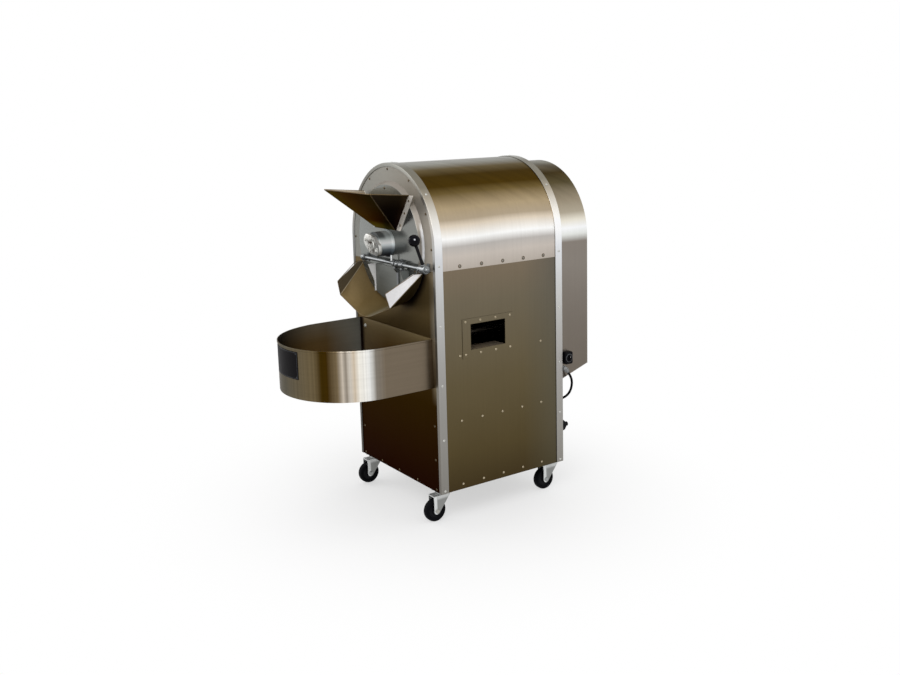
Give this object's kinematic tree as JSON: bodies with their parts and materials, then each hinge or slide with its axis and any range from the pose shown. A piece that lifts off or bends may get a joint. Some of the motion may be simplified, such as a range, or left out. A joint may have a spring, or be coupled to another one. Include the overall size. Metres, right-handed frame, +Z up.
{
  "type": "drum roaster",
  "caption": "Wheeled gas drum roaster in an arched sheet-metal cabinet, with a front feed hopper, lever discharge door, chute and half-round cooling tray.",
  "frame": {"origin": "on the floor, under the drum axis plane, midway between the tray's nose and the back of the drive housing", "axes": "+Z up; -Y is the front with the hopper, door and tray; +X is the side with the window and lever"},
  "size_m": [0.7228, 1.3855, 1.5465],
  "materials": {
    "stainless": "brushed",
    "bronze_panel": "brushed",
    "dark_panel": "satin",
    "grey_plate": "satin",
    "trim_silver": "satin",
    "zinc": "satin",
    "steel": "satin",
    "grey_cast": "satin",
    "dark_steel": "satin",
    "motor_paint": "satin",
    "black_gloss": "gloss",
    "black_plastic": "satin",
    "grey_plastic": "satin",
    "lead_sheath": "matt",
    "wheel_rubber": "matt"
  },
  "bodies": {
    "cabinet": {"base_frame": "dark_steel", "base_plate": "dark_steel", "corner_posts": "dark_steel", "front_plate": "grey_plate", "drum_end_plate": "grey_plate", "front_panel": "dark_panel", "rear_plate": "bronze_panel", "side_panel_right": "bronze_panel", "side_panel_left": "bronze_panel", "rear_housing": "bronze_panel", "top_cover": "stainless", "hopper": "stainless", "discharge_chute": "stainless", "cooling_tray": "stainless", "tray_floor": "stainless", "window_frame": "stainless", "front_trim_band": "trim_silver", "rear_trim_band": "trim_silver", "cabinet_screws": "zinc", "front_fasteners": "zinc", "rod_brackets": "zinc", "burner_tubes": "dark_steel", "gas_manifold": "dark_steel", "gas_union": "black_plastic", "bearing_housing": "grey_cast", "front_bearing": "steel", "bearing_cap": "steel", "rear_bearing": "grey_cast", "drive_chain": "steel", "gearmotor": "motor_paint", "name_plate": "black_plastic", "switch_body": "black_plastic", "cable_glands": "grey_plastic", "power_lead": "lead_sheath", "caster_plates": "zinc"},
    "drum": {"drum_shell": "steel", "drum_rear_head": "steel", "drum_front_spider": "steel", "drum_flights": "steel", "drum_shaft": "steel", "drum_sprocket": "steel"},
    "motor_output": {"motor_sprocket": "steel"},
    "door": {"door_rod": "zinc", "door_plate": "stainless", "door_straps": "dark_steel", "lever_arm": "dark_steel", "lever_knob": "black_gloss"},
    "switch": {"switch_knob": "black_plastic"},
    "fork_front_left": {"caster_fork_front_left": "zinc", "caster_axle_front_left": "zinc"},
    "wheel_front_left": {"caster_wheel_front_left": "wheel_rubber"},
    "fork_front_right": {"caster_fork_front_right": "zinc", "caster_axle_front_right": "zinc"},
    "wheel_front_right": {"caster_wheel_front_right": "wheel_rubber"},
    "fork_rear_left": {"caster_fork_rear_left": "zinc", "caster_axle_rear_left": "zinc"},
    "wheel_rear_left": {"caster_wheel_rear_left": "wheel_rubber"},
    "fork_rear_right": {"caster_fork_rear_right": "zinc", "caster_axle_rear_right": "zinc"},
    "wheel_rear_right": {"caster_wheel_rear_right": "wheel_rubber"}
  },
  "joints": [
    {"name": "drum_spin", "type": "hinge", "parent": "cabinet", "child": "drum", "pos_m": [0, -0.1555, 1.194], "axis": [0, 1, 0], "continuous": true},
    {"name": "motor_spin", "type": "hinge", "parent": "cabinet", "child": "motor_output", "pos_m": [0, 0.5295, 0.864], "axis": [0, 1, 0], "continuous": true},
    {"name": "door_swing", "type": "hinge", "parent": "cabinet", "child": "door", "pos_m": [0, -0.1895, 1.115], "axis": [-1, 0, 0], "range_deg": [0, 22]},
    {"name": "switch_turn", "type": "hinge", "parent": "cabinet", "child": "switch", "pos_m": [0.361, 0.5595, 0.625], "axis": [1, 0, 0], "range_deg": [0, 90]},
    {"name": "swivel_front_left", "type": "hinge", "parent": "cabinet", "child": "fork_front_left", "pos_m": [-0.29, -0.1155, 0.125], "axis": [0, 0, 1], "continuous": true},
    {"name": "roll_front_left", "type": "hinge", "parent": "fork_front_left", "child": "wheel_front_left", "pos_m": [-0.29, -0.1555, 0.05], "axis": [1, 0, 0], "continuous": true},
    {"name": "swivel_front_right", "type": "hinge", "parent": "cabinet", "child": "fork_front_right", "pos_m": [0.29, -0.1155, 0.125], "axis": [0, 0, 1], "continuous": true},
    {"name": "roll_front_right", "type": "hinge", "parent": "fork_front_right", "child": "wheel_front_right", "pos_m": [0.29, -0.1555, 0.05], "axis": [1, 0, 0], "continuous": true},
    {"name": "swivel_rear_left", "type": "hinge", "parent": "cabinet", "child": "fork_rear_left", "pos_m": [-0.29, 0.4955, 0.125], "axis": [0, 0, 1], "continuous": true},
    {"name": "roll_rear_left", "type": "hinge", "parent": "fork_rear_left", "child": "wheel_rear_left", "pos_m": [-0.29, 0.4555, 0.05], "axis": [1, 0, 0], "continuous": true},
    {"name": "swivel_rear_right", "type": "hinge", "parent": "cabinet", "child": "fork_rear_right", "pos_m": [0.29, 0.4955, 0.125], "axis": [0, 0, 1], "continuous": true},
    {"name": "roll_rear_right", "type": "hinge", "parent": "fork_rear_right", "child": "wheel_rear_right", "pos_m": [0.29, 0.4555, 0.05], "axis": [1, 0, 0], "continuous": true}
  ],
  "couplings": [
    {"joint": "motor_spin", "follows": "drum_spin", "ratio": 2}
  ]
}
